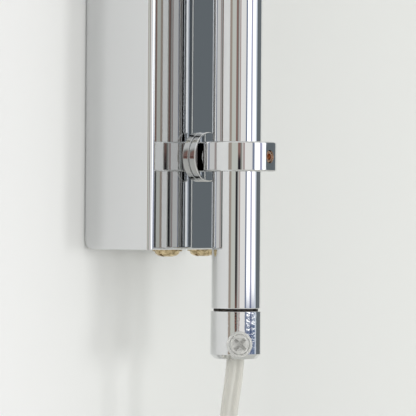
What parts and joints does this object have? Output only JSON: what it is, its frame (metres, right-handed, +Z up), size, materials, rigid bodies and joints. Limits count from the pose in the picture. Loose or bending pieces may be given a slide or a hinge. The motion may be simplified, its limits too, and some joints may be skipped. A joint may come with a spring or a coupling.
{
  "type": "swing arm wall sconce",
  "caption": "Plug-in wall sconce: chrome wall box, clamped post, folding swing arms, key-switch socket, harp and empire shade, with a clear cord hung in a hank.",
  "frame": {"origin": "middle of the wall bracket's back face, on the wall plane", "axes": "+Z up; the room is towards -Y, so the wall is the plane y = 0; +X is to the right of a viewer who faces the wall"},
  "size_m": [0.2887, 0.4216, 0.8005],
  "materials": {
    "chrome": "polished chrome plate on steel and brass",
    "zinc_steel": "zinc-plated steel",
    "brass": "machined brass, lightly tarnished",
    "nickel": "bright nickel plate",
    "clear_polycarbonate": "clear moulded plastic",
    "clear_pvc": "clear flexible PVC over tinned strands",
    "nylon": "natural nylon",
    "tie_strap": "soft black strap",
    "fibre": "vulcanised fibre",
    "phenolic": "moulded phenolic",
    "aluminium": "rolled aluminium",
    "frosted_glass": "inside-frosted glass",
    "painted_wire": "ivory paint",
    "linen": "plain-weave linen on a white lining"
  },
  "bodies": {
    "wall_mount": {"wall_box": "chrome", "wall_bracket": "zinc_steel", "cover_screws": "brass", "lower_standoff_disc": "chrome", "upper_standoff_disc": "chrome", "lower_clamp": "chrome", "upper_clamp": "chrome", "clamp_set_screws": "brass", "clamp_bolts": "zinc_steel", "clamp_washers": "zinc_steel"},
    "post": {"post_tube": "chrome", "post_end_cap": "chrome", "cord_grip_screw": "clear_polycarbonate", "post_head": "chrome", "post_nipple": "brass", "post_locknut": "brass", "post_washer": "nylon", "post_lead": "clear_pvc", "supply_cord": "clear_pvc", "cord_hank": "clear_pvc", "hank_tie": "tie_strap", "cord_tail": "clear_pvc", "plug_body": "clear_pvc", "plug_blades": "brass"},
    "inner_arm": {"inner_arm_hub": "chrome", "inner_hub_cap": "chrome", "inner_arm_tube": "chrome", "elbow_lower_hub": "chrome", "elbow_lower_cap": "chrome", "elbow_nipple": "brass", "elbow_locknuts": "brass", "elbow_washer": "nylon", "inner_arm_lead": "clear_pvc"},
    "outer_arm": {"elbow_upper_hub": "chrome", "elbow_upper_cap": "chrome", "outer_arm_tube": "chrome", "arm_end_hub": "chrome", "arm_end_cap": "chrome", "riser_nipple": "brass", "riser_locknuts": "brass", "riser_sleeve": "chrome", "harp_saddle": "nickel", "harp": "nickel", "harp_ferrules": "nickel", "socket_cap": "nickel", "socket_insulator": "fibre", "socket_shell": "nickel", "socket_core": "phenolic", "socket_contacts": "brass", "bulb_base": "aluminium", "bulb_glass": "frosted_glass", "shade_spider": "painted_wire", "shade_bottom_ring": "painted_wire", "shade_skin": "linen", "shade_finial": "chrome", "outer_arm_lead": "clear_pvc"},
    "switch": {"switch_key": "phenolic"}
  },
  "joints": [
    {"name": "post_height", "type": "slide", "parent": "wall_mount", "child": "post", "axis": [0, 0, 1], "range_m": [-0.055, 0.044]},
    {"name": "inner_arm_swing", "type": "hinge", "parent": "post", "child": "inner_arm", "pos_m": [0, -0.0395, 0.1668], "axis": [0, 0, 1], "range_deg": [-140, 40]},
    {"name": "outer_arm_swing", "type": "hinge", "parent": "inner_arm", "child": "outer_arm", "pos_m": [0.15321, -0.16806, 0.1876], "axis": [0, 0, 1], "range_deg": [-50, 250]},
    {"name": "switch_key_turn", "type": "hinge", "parent": "outer_arm", "child": "switch", "pos_m": [0, -0.29662, 0.2346], "axis": [0, -1, 0], "continuous": true}
  ]
}
